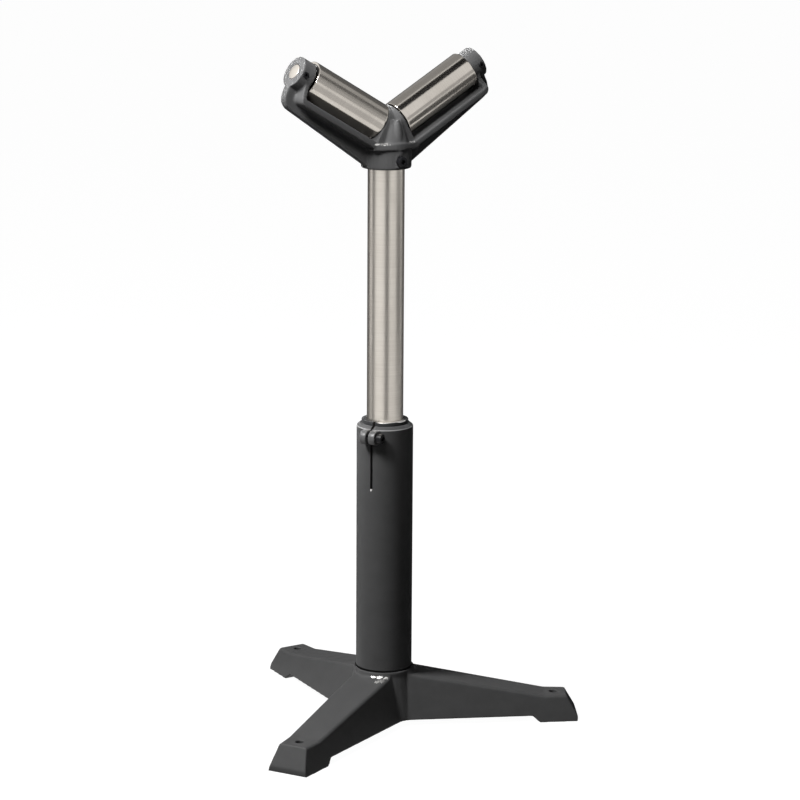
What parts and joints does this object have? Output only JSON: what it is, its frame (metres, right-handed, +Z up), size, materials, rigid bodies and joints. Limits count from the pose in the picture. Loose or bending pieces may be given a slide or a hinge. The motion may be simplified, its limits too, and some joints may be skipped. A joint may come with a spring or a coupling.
{
  "type": "roller stand",
  "caption": "Height-adjustable V-roller stand: cast tripod foot, column with pinch clamp, sliding steel mast and a cast yoke with ball-bearing rollers set in a V.",
  "frame": {"origin": "on the floor, in the middle of the tripod's footprint", "axes": "+Z up along the mast; the V of the rollers opens along X; the rear leg points along +Y"},
  "size_m": [0.4822, 0.4176, 0.8983],
  "materials": {
    "cast_paint": "satin charcoal paint over a cast skin",
    "tube_paint": "satin charcoal paint",
    "turned_steel": "finely turned, satin",
    "polished_steel": "polished",
    "bearing_steel": "ground",
    "black_oxide": "black oxide"
  },
  "bodies": {
    "base": {"tripod_base": "cast_paint", "column_tube": "tube_paint", "guide_bush": "tube_paint", "clamp_lug_left": "tube_paint", "clamp_lug_right": "tube_paint"},
    "clamp_screw": {"clamp_screw": "black_oxide"},
    "mast": {"mast_tube": "turned_steel"},
    "head": {"head_yoke": "cast_paint", "socket_screw": "black_oxide", "axle_left": "turned_steel", "axle_right": "turned_steel", "axle_screw_left": "black_oxide", "axle_screw_right": "black_oxide", "bearing_inner_ring_left_lower": "bearing_steel", "bearing_inner_ring_left_upper": "bearing_steel", "bearing_inner_ring_right_lower": "bearing_steel", "bearing_inner_ring_right_upper": "bearing_steel"},
    "left_roller": {"roller_left": "polished_steel", "bearing_outer_ring_left_lower": "bearing_steel", "bearing_outer_ring_left_upper": "bearing_steel"},
    "right_roller": {"roller_right": "polished_steel", "bearing_outer_ring_right_lower": "bearing_steel", "bearing_outer_ring_right_upper": "bearing_steel"},
    "left_cages": {"bearing_ball_cage_left_lower": "bearing_steel", "bearing_ball_cage_left_upper": "bearing_steel"},
    "right_cages": {"bearing_ball_cage_right_lower": "bearing_steel", "bearing_ball_cage_right_upper": "bearing_steel"}
  },
  "joints": [
    {"name": "mast_slide", "type": "slide", "parent": "base", "child": "mast", "axis": [0, 0, 1], "range_m": [-0.33, 0.02]},
    {"name": "head_swivel", "type": "hinge", "parent": "mast", "child": "head", "pos_m": [0, -0.05319, 0.7485], "axis": [0, 0, 1], "continuous": true},
    {"name": "left_roller_spin", "type": "hinge", "parent": "head", "child": "left_roller", "pos_m": [0, -0.05319, 0.80015], "axis": [-0.866, 0, 0.5], "continuous": true},
    {"name": "right_roller_spin", "type": "hinge", "parent": "head", "child": "right_roller", "pos_m": [0, -0.05319, 0.80015], "axis": [0.866, 0, 0.5], "continuous": true},
    {"name": "left_cage_spin", "type": "hinge", "parent": "head", "child": "left_cages", "pos_m": [0, -0.05319, 0.80015], "axis": [-0.866, 0, 0.5], "continuous": true},
    {"name": "right_cage_spin", "type": "hinge", "parent": "head", "child": "right_cages", "pos_m": [0, -0.05319, 0.80015], "axis": [0.866, 0, 0.5], "continuous": true},
    {"name": "clamp_screw_turn", "type": "hinge", "parent": "base", "child": "clamp_screw", "pos_m": [-0.03687, -0.07447, 0.3965], "axis": [0.5, -0.866, 0], "range_deg": [0, 360]}
  ],
  "couplings": [
    {"joint": "left_cage_spin", "follows": "left_roller_spin", "ratio": 0.5955},
    {"joint": "right_cage_spin", "follows": "right_roller_spin", "ratio": 0.5955}
  ]
}
